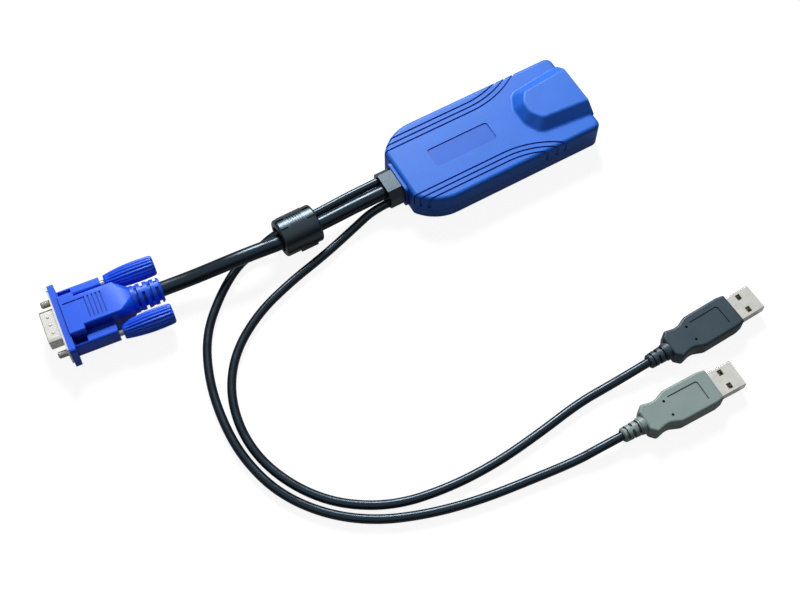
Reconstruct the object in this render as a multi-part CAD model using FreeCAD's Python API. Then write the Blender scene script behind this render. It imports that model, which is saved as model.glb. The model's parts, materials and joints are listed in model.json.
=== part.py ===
"""Video and USB server module: a moulded two-part housing with a network socket,
a ferrite clip on its cables, a 15-pin video plug and two USB plugs."""
import FreeCAD, Part
import math
import os
from FreeCAD import Vector

# Housing shells
housing_length = 92.4      # gland end of the neck to the socket end
housing_width = 44.2
deck_height = 14.7         # flat top of the housing
hump_height = 19.0         # raised part over the socket
parting_height = 6.5
wall = 1.8
floor_thickness = 1.8
deck_round = 2.0
base_round = 1.6
socket_corner = 3.5
shoulder_radius = 21.0     # broad curve at the cable end
shoulder_run = 18.5        # from the start of that curve to the neck's face
shoulder_nose = 2.5
neck_length = 1.2
neck_width = 17.6
neck_top = 13.3
neck_foot = 0.7
neck_round = 2.2
lip_height = 1.0
lip_clearance = 0.1
seam = 0.2

# Hump over the socket
hump_length = 30.0
hump_nose = 3.7            # how far the nose bulges past the hump's sides
hump_foot_half = 15.0
hump_foot_nose_half = 12.2
hump_top_half = 9.8
hump_top_nose_half = 8.0
hump_slope = 3.9           # run of the slope at the nose
hump_foot_corner = 5.0
hump_top_corner = 3.6
hump_foot_tip_half = 4.4     # half of the blunt end of the nose
hump_top_tip_half = 2.9
hump_blend = 2.0
hump_edge = 2.0

# Surface detail of the top shell
groove_width = 0.8
groove_depth = 0.5
groove_first = 13.0        # inner groove from the centre line
groove_pitch = 2.45
groove_count = 3
groove_bend = 46.0         # radius of the inner groove where it turns outwards
groove_bend_start = 3.3
groove_foot = 8.0          # height at which the notches in the side wall end
panel_length = 30.6
panel_width = 9.8
panel_centre = -9.7
panel_depth = 0.4
panel_corner = 1.4

# Cable gland
collar_reach = 7.0
collar_half = 7.9
collar_flat = 4.8          # half of the flat on top
collar_top = 13.0
collar_foot = 1.0
collar_gap = 0.35
throat_inset = 1.5
gland_fit = 0.1
gland_flange = 1.6
gland_flange_inset = 0.95

# Board and what it carries
board_height = 2.8
board_thickness = 1.6
board_margin = 0.6
post_diameter = 5.2
boss_diameter = 6.2
post_hole_fit = 0.3
post_inset = 6.5           # from the housing's side
post_near_socket = 24.5    # socket end to the first pair of posts
post_spacing = 45.0
screw_diameter = 2.2
screw_head = 4.0
screw_head_height = 1.3
screw_length = 9.0
screw_fit = 0.04
recess_fit = 0.4
screw_edge = 0.3
screw_point = 0.8
screw_point_length = 1.2
drive_length = 2.4
drive_width = 0.5
drive_depth = 0.6
video_chip_size = 14.0
video_chip_height = 1.6
video_chip_gap = 12.5      # behind the socket, to its middle
processor_size = 12.0
processor_height = 1.4
processor_gap = 31.5
processor_shift = 1.5
memory_length = 10.0
memory_width = 5.5
memory_height = 1.2
memory_gap = 28.0
memory_inset = 5.9         # from the board's edge to its middle
lead_length = 1.0
lead_width = 0.4
crystal_length = 10.0
crystal_width = 4.0
crystal_height = 3.4
crystal_gap = 21.0
crystal_inset = 8.1
capacitor_diameter = 5.0
capacitor_height = 5.4
capacitor_edge = 0.5
capacitor_gaps = (30.0, 37.0)
capacitor_inset = 7.1
header_gap = 8.0           # board connectors, from the gland's inner face
header_depth = 4.2
header_height = 4.4
header_wall = 0.8
video_header_width = 9.0
usb_header_width = 5.6
header_shift = 0.5         # middle connector, off the centre line
header_spacing = 8.4
wire_radius = 0.42
wire_clearance = 0.4
wire_pitch = 1.15

# Network socket
jack_width = 15.9
jack_height = 12.2
jack_depth = 16.5
jack_fit = 0.2
shield_thickness = 0.3
cavity_width = 11.8
cavity_height = 7.2
cavity_depth = 12.5
cavity_roof = 1.7
latch_width = 6.4
latch_height = 1.5
latch_step_width = 4.0
latch_step_height = 1.1
contact_count = 8
contact_pitch = 1.02
contact_width = 0.4
contact_set_back = 2.0
contact_drop = 2.6
contact_slot_fit = 0.1
peg_radius = 1.4
peg_half_span = 5.7
peg_stand_out = 0.6        # below the board
shield_opening_fit = 0.25
spring_length = 5.0
spring_width = 1.2
spring_height = 0.2
spring_half_span = 3.9

# Cables
video_diameter = 6.6
usb_diameter = 3.8

# Ferrite clip
clip_centre = Vector(-91.6, 0.1, 8.45)
clip_radius = 8.45
clip_length = 17.6
clip_wall = 1.0
clip_end_wall = 1.0
clip_bore = 5.75
clip_edge = 1.1
core_fit = 0.1
clip_gap = 0.3             # between the halves of the clip
hinge_radius = 1.1
hinge_offset = 0.3         # hinge axis beyond the clip's radius
hinge_pin_radius = 0.5
hinge_pin_fit = 0.05
knuckle_length = 3.6
knuckle_gap = 0.3
latch_tab_width = 8.0
latch_tab_shift = 1.6      # towards the gland
latch_tab_drop = 3.8
ridge_count = 6
ridge_pitch = 1.1
ridge_depth = 0.3
slot_length = 3.4
slot_width = 1.1
slot_angle = 19.0
panel_turn = 9.0           # the ridged panel leans to the hinge side

# Video plug, in its own frame: x is the mating direction, z is height
plug_origin = Vector(-197.9, 7.8, 0)
plug_angle = 173.98
plug_axis = 8.0
hood_width = 34.0
hood_flange = 2.7
hood_flange_height = 14.0
hood_height = 16.0
hood_front_half = 9.6
hood_front_length = 9.2
hood_half = 7.4
hood_length = 25.2
hood_edge = 0.8
relief_start = 31.0
relief_end = 43.8
relief_radius = 6.0
relief_rear_radius = 5.4
relief_core = 4.4
relief_rings = 4
relief_gap = 1.3
relief_chamfer = 0.6
bridge_width = 2.2
rail_inner = 9.7
rail_outer = 14.2
rail_length = 21.0
rail_height = 8.6
rail_edge = 1.2
web_drop = 1.6
pocket_length = 5.4
pocket_depth = 4.4
grip_half = 5.2
grip_start = 12.7
grip_pitch = 1.7
grip_count = 5
grip_width = 0.6
grip_depth = 0.5
guide_length = 9.0
jackscrew_half_span = 12.5
jackscrew_shank = 3.1
jackscrew_shank_reach = 1.2
jackscrew_thread = 2.84
jackscrew_reach = 5.0
jackscrew_point = 0.5
jackscrew_seat = 15.0      # length held inside the knob
jackscrew_fit = 0.08
knob_front = 22.8
knob_rear = 44.6
knob_fullest = 37.0
knob_front_radius = 3.3
knob_radius = 4.7
knob_rear_radius = 4.35
knob_edge = 0.6
knob_flutes = 18
flute_radius = 0.45
flute_rise = 0.5           # axis of a flute outside the knob's front radius
flute_start = 2.5
knob_slot = 0.9
flange_thickness = 0.8
flange_width = 30.8
flange_height = 12.5
flange_corner = 1.6
d_half_top = 8.45
d_height = 8.36
d_slope = 10.0
d_corner = 2.0
d_reach = 5.9
d_wall = 0.4
dimple_radius = 0.75
dimple_top_radius = 0.4
dimple_height = 0.25
dimple_pitch = 3.9
core_depth = 3.0           # how far the insulator sits back in the hood
pin_radius = 0.38
pin_reach = 5.2
pin_pitch = 2.29
pin_row = 1.98
pins_per_row = 5
pin_rows = 3
insulator_step = 1.0

# USB plugs, each in its own frame: x is the mating direction
usb_black_origin = Vector(48.8, -123.1, 0)
usb_black_angle = 2.5
usb_grey_origin = Vector(21.2, -147.3, 0)
usb_grey_angle = -0.8
usb_height = 8.4
usb_half = 7.8
usb_body_length = 34.0
usb_front_draft = 0.7
usb_front_run = 3.5
usb_waist_run = 13.5       # from the tail to where the waist begins
usb_waist_back = 7.8
usb_waist_half = 5.9
usb_tail_run = 2.4
usb_tail_half = 6.9
usb_edge = 1.2
usb_relief_length = 10.0
usb_relief_radius = 3.5
usb_relief_rear_radius = 3.1
usb_relief_core = 2.5
usb_relief_collar = 4.3
usb_relief_rings = 3
usb_relief_gap = 1.1
usb_bridge = 1.5
frame_groove_front = 5.8
frame_groove_length = 14.4
frame_groove_half = 4.5
frame_groove_width = 0.6
frame_groove_depth = 0.4
dot_back = 22.6
dot_depth = 0.8
dot_half = 3.3
dot_radius = 0.6
shell_width = 12.0
shell_height = 4.5
shell_wall = 0.35
shell_reach = 11.9
shell_tail = 6.0
window_start = 4.4
window_length = 2.1
window_width = 2.6
window_centre = 3.3
tongue_height = 1.9
tongue_short = 0.7
tongue_lead = 0.5
usb_contact_width = 1.0
usb_contact_thickness = 0.2
usb_contact_places = (-3.5, -1.0, 1.0, 3.5)

# Places that follow from the sizes above
socket_end = (housing_length + collar_reach) / 2
neck_face = socket_end - housing_length
shoulder_face = neck_face + neck_length
shoulder_start = neck_face + shoulder_run
collar_face = neck_face - collar_reach
half_width = housing_width / 2
board_top = board_height + board_thickness
hump_back = socket_end - hump_length
board_half = half_width - wall - board_margin
post_half_span = half_width - post_inset
gland_inner_face = shoulder_face + wall
jack_back = socket_end - jack_depth
jack_roof = board_top + jack_height - cavity_roof
usb_axis = usb_height / 2
usb_relief_end = usb_body_length + usb_relief_length


# Helpers
def box(x0, x1, y0, y1, z0, z1):
    return Part.makeBox(x1 - x0, y1 - y0, z1 - z0, Vector(x0, y0, z0))


def rod(radius, length, base, direction=Vector(0, 0, 1)):
    return Part.makeCylinder(radius, length, base, direction)


def fuse(shapes):
    first, rest = shapes[0], shapes[1:]
    return first.fuse(rest).removeSplitter() if rest else first


def cut_each(shape, cutters):
    for cutter in cutters:
        shape = shape.cut(cutter)
    return shape


def rounded_wire(corners, to_point):
    """Closed wire through (u, v, radius) corners; to_point turns (u, v) into a Vector."""
    edges = []
    ends = []
    count = len(corners)
    for i in range(count):
        u, v, radius = corners[i]
        before = Vector(*corners[i - 1][:2], 0) - Vector(u, v, 0)
        after = Vector(*corners[(i + 1) % count][:2], 0) - Vector(u, v, 0)
        corner = Vector(u, v, 0)
        if radius <= 0:
            ends.append((corner, None, corner))
            continue
        half = before.getAngle(after) / 2
        run = radius / math.tan(half)
        middle = (before.normalize() + after.normalize()).normalize()
        start = corner + before * run
        end = corner + after * run
        through = corner + middle * (radius / math.sin(half) - radius)
        ends.append((start, through, end))
    for i in range(count):
        start, through, end = ends[i]
        if through is not None:
            edges.append(Part.Arc(*[to_point(p.x, p.y) for p in (start, through, end)]).toShape())
        following = ends[(i + 1) % count][0]
        if end.distanceToPoint(following) > 1e-6:
            line = Part.LineSegment(to_point(end.x, end.y), to_point(following.x, following.y))
            edges.append(line.toShape())
    return Part.Wire(edges)


def plan(corners, z0, z1):
    """Prism with its outline in plan."""
    wire = rounded_wire(corners, lambda u, v: Vector(u, v, z0))
    return Part.Face(wire).extrude(Vector(0, 0, z1 - z0))


def section(corners, x0, x1):
    """Prism along x with its outline across the part."""
    wire = rounded_wire(corners, lambda u, v: Vector(x0, u, v))
    return Part.Face(wire).extrude(Vector(x1 - x0, 0, 0))


def rectangle(u0, u1, v0, v1, radius):
    return [(u0, v0, radius), (u1, v0, radius), (u1, v1, radius), (u0, v1, radius)]


def turned(points, base=Vector(0, 0, 0)):
    """Solid turned about the x axis through base, from (x, radius) points."""
    outline = [Vector(x, 0, r) + base for x, r in points]
    face = Part.Face(Part.makePolygon(outline + [outline[0]]))
    return face.revolve(base, Vector(1, 0, 0), 360)


def round_edges(shape, radius, chosen):
    edges = [e for e in shape.Edges if chosen(e)]
    return shape.makeFillet(radius, edges) if edges else shape


def level(edge, height):
    box_of = edge.BoundBox
    return abs(box_of.ZMin - height) < 1e-4 and abs(box_of.ZMax - height) < 1e-4


def placed(shape, origin, angle):
    shape = shape.copy()
    shape.rotate(Vector(0, 0, 0), Vector(0, 0, 1), angle)
    shape.translate(origin)
    return shape


def export(name, shape):
    solids = shape.Solids
    assert shape.isValid() and solids, name
    kept = solids[0] if len(solids) == 1 else Part.makeCompound(solids)
    kept.exportStep("parts/%s.step" % name)
    print("%-24s %3d solid(s) %9.2f mm3" % (name, len(solids), kept.Volume))


# Housing
def housing_plan(inset, z0, z1):
    """The housing's outline in plan, drawn inwards by inset, as a prism."""
    side = half_width - inset
    big = shoulder_radius - inset
    nose = shoulder_nose - inset
    corner = socket_corner - inset
    left = shoulder_face + inset
    right = socket_end - inset
    big_y = half_width - shoulder_radius
    nose_x = shoulder_face + shoulder_nose
    offset = shoulder_start - nose_x
    nose_y = big_y + math.sqrt((shoulder_radius - shoulder_nose) ** 2 - offset ** 2)
    turn = math.atan2(nose_y - big_y, nose_x - shoulder_start)

    def at(cx, cy, radius, angle, sign):
        return Vector(cx + radius * math.cos(angle), sign * (cy + radius * math.sin(angle)), z0)

    def half_edges(sign):
        nose_end = at(nose_x, nose_y, nose, turn, sign)
        nose_mid = at(nose_x, nose_y, nose, (turn + math.pi) / 2, sign)
        big_mid = at(shoulder_start, big_y, big, (turn + math.pi / 2) / 2, sign)
        big_end = Vector(shoulder_start, sign * side, z0)
        side_end = Vector(right - corner, sign * side, z0)
        corner_mid = at(right - corner, side - corner, corner, math.pi / 4, sign)
        corner_end = Vector(right, sign * (side - corner), z0)
        return [Part.Arc(Vector(left, sign * nose_y, z0), nose_mid, nose_end).toShape(),
                Part.Arc(nose_end, big_mid, big_end).toShape(),
                Part.LineSegment(big_end, side_end).toShape(),
                Part.Arc(side_end, corner_mid, corner_end).toShape()]

    ends = [Part.LineSegment(Vector(x, -y, z0), Vector(x, y, z0)).toShape()
            for x, y in ((left, nose_y), (right, side - corner))]
    wire = Part.Wire(Part.__sortEdges__(half_edges(1) + half_edges(-1) + ends))
    return Part.Face(wire).extrude(Vector(0, 0, z1 - z0))


def housing_block(inset):
    """The body under the deck with its rounded rims, drawn inwards by inset."""
    low = inset
    high = deck_height - inset
    block = housing_plan(inset, low, high)
    for rim, height in ((deck_round - inset, high), (base_round - inset, low)):
        if rim > 0.3:
            block = round_edges(block, rim, lambda e: level(e, height))
    return block


def hump(inset):
    """The raised part over the socket, drawn inwards and down by inset."""
    foot = deck_height - inset
    top = hump_height - inset
    right = socket_end - inset
    slope = math.atan2(hump_height - deck_height, hump_foot_half - hump_top_half)
    side = inset * math.tan(slope / 2)
    wires = []
    for height, back, half, nose_half, tip_half, soft in (
            (foot, hump_back, hump_foot_half, hump_foot_nose_half, hump_foot_tip_half, hump_foot_corner),
            (top, hump_back + hump_slope, hump_top_half, hump_top_nose_half, hump_top_tip_half,
             hump_top_corner)):
        left = back + side
        tip = left + hump_nose
        corners = [(right, -half + side, 0), (tip, -nose_half + side, soft),
                   (left, -tip_half, soft * 1.5), (left, tip_half, soft * 1.5),
                   (tip, nose_half - side, soft), (right, half - side, 0)]
        wires.append(rounded_wire(corners, lambda u, v: Vector(u, v, height)))
    foot_block = Part.Face(wires[0]).extrude(Vector(0, 0, -deck_round))
    return Part.makeLoft(wires, True, True).fuse(foot_block).removeSplitter()


def neck(inset):
    half = neck_width / 2 - inset
    outline = rectangle(-half, half, neck_foot + inset, neck_top - inset, max(neck_round - inset, 0.4))
    return section(outline, neck_face + inset, shoulder_start)


def octagon(inset, x0, x1):
    side = collar_half - inset
    flat = collar_flat - inset * math.tan(math.pi / 8)
    low = collar_foot + inset
    high = collar_top - inset
    step = side - flat
    corners = [(-flat, low, 0), (flat, low, 0), (side, low + step, 0), (side, high - step, 0),
               (flat, high, 0), (-flat, high, 0), (-side, high - step, 0), (-side, low + step, 0)]
    return section(corners, x0, x1)


def jack_window(margin):
    half = jack_width / 2 + margin
    return box(socket_end - wall - board_margin - 1, socket_end + 1, -half, half,
               board_top - margin, board_top + jack_height + margin)


def post_places():
    first = socket_end - post_near_socket
    return [Vector(x, y, 0) for x in (first, first - post_spacing)
            for y in (-post_half_span, post_half_span)]


def groove_cutter():
    """Bands for the grooves: straight beside the panel, then turning out to the side."""
    bands = []
    back = shoulder_face - 1
    for i in range(groove_count):
        y = groove_first + i * groove_pitch
        radius = groove_bend - i * groove_pitch
        centre = Vector(groove_bend_start, groove_first + groove_bend, 0)
        half = groove_width / 2
        straight = box(back, groove_bend_start, y - half, y + half, groove_foot, deck_height + 1)
        tall = deck_height + 1 - groove_foot
        foot = centre + Vector(0, 0, groove_foot)
        ring = rod(radius + half, tall, foot).cut(rod(radius - half, tall, foot))
        bend = ring.common(box(groove_bend_start, socket_end, y - 2, half_width + 1,
                               groove_foot, deck_height + 1))
        bands += [straight, bend]
    mirrored = [b.mirror(Vector(0, 0, 0), Vector(0, 1, 0)) for b in bands]
    return fuse(bands + mirrored)


def housing_shells():
    outer = housing_block(0).fuse([hump(0), neck(0)]).removeSplitter()

    def hump_line(e, height):
        b = e.BoundBox
        return level(e, height) and hump_back - 1 < b.XMin < socket_end - deck_round - 0.5 \
            and max(b.YMax, -b.YMin) < hump_foot_half + 0.5

    outer = round_edges(outer, hump_edge, lambda e: hump_line(e, hump_height))
    outer = round_edges(outer, hump_blend, lambda e: hump_line(e, deck_height))
    cavity = housing_block(wall).fuse(hump(wall))
    low_floor = box(neck_face, socket_end, -half_width, half_width, 0, floor_thickness)
    cavity = cavity.cut(low_floor)
    skin = housing_block(0).cut(housing_block(groove_depth))
    grooves = skin.common(groove_cutter())
    panel = plan(rectangle(panel_centre - panel_length / 2, panel_centre + panel_length / 2,
                           -panel_width / 2, panel_width / 2, panel_corner),
                 deck_height - panel_depth, deck_height + 1)
    throat = octagon(throat_inset - gland_fit, neck_face - 1, shoulder_face + wall + 1)
    seam_ring = housing_plan(0, parting_height - seam / 2, parting_height + seam / 2).cut(
        housing_plan(seam, parting_height - seam / 2, parting_height + seam / 2))
    shell = cut_each(outer, [cavity, panel, throat, jack_window(jack_fit), grooves])
    big = 2 * (housing_length + collar_reach)
    below = box(-big, big, -big, big, -1, parting_height)
    above = box(-big, big, -big, big, parting_height, hump_height + 1)
    lip_top = parting_height + lip_height
    lip = housing_plan(wall / 2 + lip_clearance, parting_height, lip_top).cut(
        housing_plan(wall, parting_height - 1, lip_top + 1))
    rebate = housing_plan(wall / 2, parting_height, lip_top + lip_clearance).cut(
        housing_plan(wall, parting_height - 1, lip_top + 1 + lip_clearance))
    openings = [octagon(throat_inset - gland_fit, neck_face - 1, shoulder_face + wall + 1),
                jack_window(jack_fit)]
    bosses, posts, clearances, pilots = [], [], [], []
    head_room = screw_head_height + recess_fit
    for place in post_places():
        on_floor = place + Vector(0, 0, floor_thickness / 2)
        on_board = place + Vector(0, 0, board_top)
        bosses.append(rod(boss_diameter / 2, board_height - floor_thickness / 2, on_floor))
        posts.append(rod(post_diameter / 2, deck_height - wall / 2 - board_top, on_board))
        clearances.append(rod(screw_diameter / 2 + recess_fit / 2, board_height + 2, place - Vector(0, 0, 1)))
        clearances.append(rod(screw_head / 2 + recess_fit / 2, head_room + 1, place - Vector(0, 0, 1)))
        pilots.append(rod(screw_diameter / 2 + screw_fit, head_room + screw_length + 0.5 - board_top,
                          on_board))
    bottom = shell.common(below).cut(seam_ring).fuse(cut_each(lip, openings)).fuse(bosses)
    top = shell.common(above).cut(seam_ring).cut(rebate).fuse(posts)
    return top.cut(pilots).removeSplitter(), bottom.cut(clearances).removeSplitter()


def cable_gland():
    throat = octagon(throat_inset, neck_face - collar_gap, gland_inner_face)
    flange = octagon(gland_flange_inset, gland_inner_face, gland_inner_face + gland_flange)
    return fuse([octagon(0, collar_face, neck_face - collar_gap), throat, flange])


def circuit_board():
    inset = wall + board_margin
    board = housing_plan(inset, board_height, board_top)
    back = gland_inner_face + gland_flange + board_margin
    board = board.common(box(back, socket_end, -half_width, half_width, board_height, board_top))
    hole = screw_diameter / 2 + post_hole_fit
    holes = [rod(hole, board_thickness + 2, p + Vector(0, 0, board_height - 1)) for p in post_places()]
    pegs = [rod(peg_radius + jack_fit, board_thickness + 2, Vector(x, y, board_height - 1))
            for x, y in jack_pegs()]
    return board.cut(holes + pegs)


def housing_screws():
    screws = []
    for place in post_places():
        base = place + Vector(0, 0, recess_fit)
        head = rod(screw_head / 2, screw_head_height, base)
        head = round_edges(head, screw_edge, lambda e: level(e, recess_fit))
        long, wide = drive_length / 2, drive_width / 2
        slots = [box(-long, long, -wide, wide, 0, drive_depth), box(-wide, wide, -long, long, 0, drive_depth)]
        for cross in slots:
            cross.translate(base)
        straight = screw_length - screw_point_length
        shank = rod(screw_diameter / 2, straight, base + Vector(0, 0, screw_head_height))
        tip = Part.makeCone(screw_diameter / 2, screw_point / 2, screw_point_length,
                            base + Vector(0, 0, screw_head_height + straight))
        screws.append(fuse([head, shank, tip]).cut(slots))
    return Part.makeCompound(screws)


# Network socket
def jack_pegs():
    return [(socket_end - jack_depth / 2, y) for y in (-peg_half_span, peg_half_span)]


def jack_opening(margin, depth):
    """The plug's way in: a wide room with a stepped latch slot below it."""
    top = jack_roof
    low = top - cavity_height
    x0 = socket_end - depth
    x1 = socket_end + 1
    half, latch, step = cavity_width / 2, latch_width / 2, latch_step_width / 2
    return fuse([box(x0, x1, -half - margin, half + margin, low - margin, top + margin),
                 box(x0, x1, -latch - margin, latch + margin, low - latch_height - margin, low),
                 box(x0, x1, -step - margin, step + margin,
                     low - latch_height - latch_step_height - margin, low)])


def jack_body():
    gap = shield_thickness
    half = jack_width / 2 - gap
    body = box(socket_end - jack_depth + gap, socket_end - gap, -half, half,
               board_top, board_top + jack_height - gap)
    foot = board_height - peg_stand_out
    pegs = [rod(peg_radius, board_top - foot, Vector(x, y, foot)) for x, y in jack_pegs()]
    body = fuse([body] + pegs)
    slot_half = contact_width / 2 + contact_slot_fit
    comb = []
    for y in contact_rows():
        comb.append(box(socket_end - cavity_depth - 1.2, socket_end - contact_set_back + 0.5,
                        y - slot_half, y + slot_half, jack_roof - 1, jack_roof + 0.9))
    return body.cut([jack_opening(0, cavity_depth)] + comb)


def contact_rows():
    first = -contact_pitch * (contact_count - 1) / 2
    return [first + i * contact_pitch for i in range(contact_count)]


def jack_contacts():
    """Eight spring wires, each folded back under the roof of the cavity."""
    front = socket_end - contact_set_back
    back = socket_end - cavity_depth + 0.3
    t = contact_width
    rail = jack_roof + 0.75
    end = jack_roof - contact_drop
    profile = [(back - 1.3, rail), (front, rail), (front + 0.2, rail - 0.55), (back + 1.0, end),
               (back + 1.0 - t, end + t / 4), (front - 1.6, rail - t), (back - 1.3, rail - t)]
    wires = []
    for y in contact_rows():
        outline = [Vector(x, y - t / 2, z) for x, z in profile]
        face = Part.Face(Part.makePolygon(outline + [outline[0]]))
        wires.append(face.extrude(Vector(0, t, 0)))
    return Part.makeCompound(wires)


def jack_shield():
    """Folded sheet over the socket, open below, with a framed mouth and two springs on top."""
    half = jack_width / 2
    top = board_top + jack_height
    gap = shield_thickness
    can = box(jack_back, socket_end, -half, half, board_top, top)
    room = box(jack_back + gap, socket_end - gap, -half + gap, half - gap, board_top - 1, top - gap)
    can = can.cut([room, jack_opening(shield_opening_fit, jack_depth / 2)])
    springs = []
    for y in (-spring_half_span, spring_half_span):
        x = jack_back + (jack_depth - spring_length) / 2
        springs.append(box(x, x + spring_length, y - spring_width / 2, y + spring_width / 2,
                           top, top + spring_height))
    return fuse([can] + springs)


# Board parts
def chip(x, y, width, depth, height, leads):
    """Flat package with gull-wing leads on all four sides."""
    z0 = board_top
    outline = rectangle(x - width / 2, x + width / 2, y - depth / 2, y + depth / 2, 0.4)
    body = plan(outline, z0 + 0.1, z0 + height)
    dimple = rod(0.6, 0.2, Vector(x - width / 2 + 1.5, y + depth / 2 - 1.5, z0 + height - 0.1))
    pieces = [body.cut(dimple)]
    half = lead_width / 2
    for i in range(leads):
        along = (i - (leads - 1) / 2) * (width - 2) / max(leads - 1, 1)
        across = (i - (leads - 1) / 2) * (depth - 2) / max(leads - 1, 1)
        for sign in (-1, 1):
            y0 = y + sign * depth / 2
            x0 = x + sign * width / 2
            near, far = sorted((y0, y0 + sign * lead_length))
            pieces.append(box(x + along - half, x + along + half, near, far, z0, z0 + height / 2))
            near, far = sorted((x0, x0 + sign * lead_length))
            pieces.append(box(near, far, y + across - half, y + across + half, z0, z0 + height / 2))
    return fuse(pieces)


def board_parts():
    video = chip(jack_back - video_chip_gap, 0, video_chip_size, video_chip_size, video_chip_height, 8)
    processor = chip(jack_back - processor_gap, processor_shift, processor_size, processor_size,
                     processor_height, 7)
    memory = chip(jack_back - memory_gap, board_half - memory_inset, memory_length, memory_width,
                  memory_height, 4)
    x = jack_back - crystal_gap
    y = crystal_inset - board_half
    outline = rectangle(x - crystal_length / 2, x + crystal_length / 2, y - crystal_width / 2,
                        y + crystal_width / 2, crystal_width / 2 - 0.1)
    crystal = plan(outline, board_top, board_top + crystal_height)
    cans = []
    for gap in capacitor_gaps:
        can = rod(capacitor_diameter / 2, capacitor_height,
                  Vector(jack_back - gap, capacitor_inset - board_half, board_top))
        cans.append(round_edges(can, capacitor_edge, lambda e: level(e, board_top + capacitor_height)))
    return video, processor, memory, crystal, Part.makeCompound(cans)


def header_rows():
    """Middle and width of each wire connector: video, grey and black cable."""
    return ((header_shift, video_header_width), (header_shift + header_spacing, usb_header_width),
            (header_shift - header_spacing, usb_header_width))


def board_headers():
    """Three wire connectors in a row across the board, near the gland."""
    x = gland_inner_face + gland_flange + header_gap
    headers = []
    for y, width in header_rows():
        half = width / 2
        block = box(x, x + header_depth, y - half, y + half, board_top, board_top + header_height)
        slot = box(x - 1, x + header_wall, y - half + header_wall, y + half - header_wall,
                   board_top + header_wall, board_top + header_height - header_wall)
        headers.append(block.cut(slot))
    return Part.makeCompound(headers)


def harness_wires():
    """Wires from the gland to the connectors: six for video, three for each USB cable."""
    x0 = gland_inner_face + gland_flange + wire_clearance
    x1 = gland_inner_face + gland_flange + header_gap + header_wall - wire_clearance
    wires = []
    for (y, width), exit_point, count in zip(header_rows(), (video_exit, grey_exit, black_exit), (6, 3, 3)):
        for i in range(count):
            spread = (i - (count - 1) / 2) * wire_pitch
            start = Vector(x0, exit_point[0] * 0.8 + spread * 0.85, board_top + 2.1)
            end = Vector(x1, y + spread, board_top + header_height / 2)
            run = end - start
            wires.append(rod(wire_radius, run.Length, start, run))
    return Part.makeCompound(wires)


# Video plug
def ribbed_relief(start, end, front_radius, rear_radius, core, rings, gap, bridge, axis):
    """Flexible sleeve pointing to -x: rings parted by gaps that small bridges cross in turn."""
    sleeve = turned([(-start, 0), (-start, front_radius), (-end + relief_chamfer, rear_radius),
                     (-end, rear_radius - relief_chamfer), (-end, 0)], Vector(0, 0, axis))
    pitch = (end - start) / (rings + 0.4)
    cutters = []
    for i in range(rings):
        x = -start - pitch * (i + 0.55)
        outer = front_radius + 1
        ring = rod(outer, gap, Vector(x - gap, 0, axis), Vector(1, 0, 0))
        ring = ring.cut(rod(core, gap, Vector(x - gap, 0, axis), Vector(1, 0, 0)))
        upright = i % 2 == 0
        wide = outer if upright else bridge / 2
        tall = bridge / 2 if upright else outer
        cutters.append(ring.cut(box(x - gap, x, -wide, wide, axis - tall, axis + tall)))
    return sleeve.cut(cutters)


def hood_block(x0, x1, half, low, high, edge):
    return section(rectangle(-half, half, low, high, edge), x0, x1)


def video_hood():
    mid = plug_axis
    low = mid - hood_height / 2
    high = mid + hood_height / 2
    flange = hood_block(-hood_flange, 0, hood_width / 2, mid - hood_flange_height / 2,
                        mid + hood_flange_height / 2, 1.5)
    front = hood_block(-hood_front_length, -hood_flange, hood_front_half, low, high, hood_edge)
    centre = hood_block(-hood_length, -hood_front_length, hood_half, low, high, hood_edge)
    back_wire = rounded_wire(rectangle(-hood_half, hood_half, low, high, hood_edge),
                             lambda u, v: Vector(-hood_length, u, v))
    reach = relief_radius - 0.4
    end_wire = rounded_wire(rectangle(-reach, reach, mid - reach, mid + reach, reach - 0.6),
                            lambda u, v: Vector(-relief_start, u, v))
    taper = Part.makeLoft([back_wire, end_wire], True, True)
    relief = ribbed_relief(relief_start, relief_end, relief_radius, relief_rear_radius, relief_core,
                           relief_rings, relief_gap, bridge_width, mid)
    pieces = [flange, front, centre, taper, relief]
    cuts = []
    for sign in (-1, 1):
        inner, outer = sorted((sign * rail_inner, sign * rail_outer))
        rail = section(rectangle(inner, outer, mid - rail_height / 2, mid + rail_height / 2, rail_edge),
                       -rail_length, -hood_flange)
        near, far = sorted((sign * (hood_half - 0.5), sign * (rail_inner + rail_edge)))
        web = box(-rail_length, -hood_flange, near, far, mid - rail_height / 2 + rail_edge,
                  mid + rail_height / 2 - web_drop)
        pieces += [rail, web]
        pocket_low, pocket_high = sorted((sign * (hood_front_half + 0.4), sign * (rail_outer - 1.1)))
        cuts.append(box(-hood_flange - 0.5 - pocket_length, -hood_flange - 0.5, pocket_low, pocket_high,
                        mid + rail_height / 2 - pocket_depth, high + 1))
        cuts.append(rod(jackscrew_shank / 2 + jackscrew_fit, rail_length + 2,
                        Vector(-rail_length - 1, sign * jackscrew_half_span, mid), Vector(1, 0, 0)))
    top = high - grip_depth
    for i in range(grip_count):
        x = -grip_start - i * grip_pitch
        cuts.append(box(x - grip_width / 2, x + grip_width / 2, -grip_half, grip_half, top, high + 1))
    guide = box(-grip_start, -grip_start + guide_length, -grip_half, -grip_half + grip_width, top, high + 1)
    cuts.append(guide)
    cuts.append(video_core_room())
    return fuse(pieces).cut(cuts)


def d_outline(half_top, height, corner, axis):
    """Corners of the D section, wide side up."""
    lean = height * math.tan(math.radians(d_slope))
    low, high = axis - height / 2, axis + height / 2
    half_low = half_top - lean
    return [(-half_low, low, corner), (half_low, low, corner),
            (half_top, high, corner), (-half_top, high, corner)]


def d_prism(grow, x0, x1):
    return section(d_outline(d_half_top + grow, d_height + 2 * grow, d_corner + grow, plug_axis), x0, x1)


def video_core_room():
    return d_prism(-d_wall, -core_depth, 1)


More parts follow.
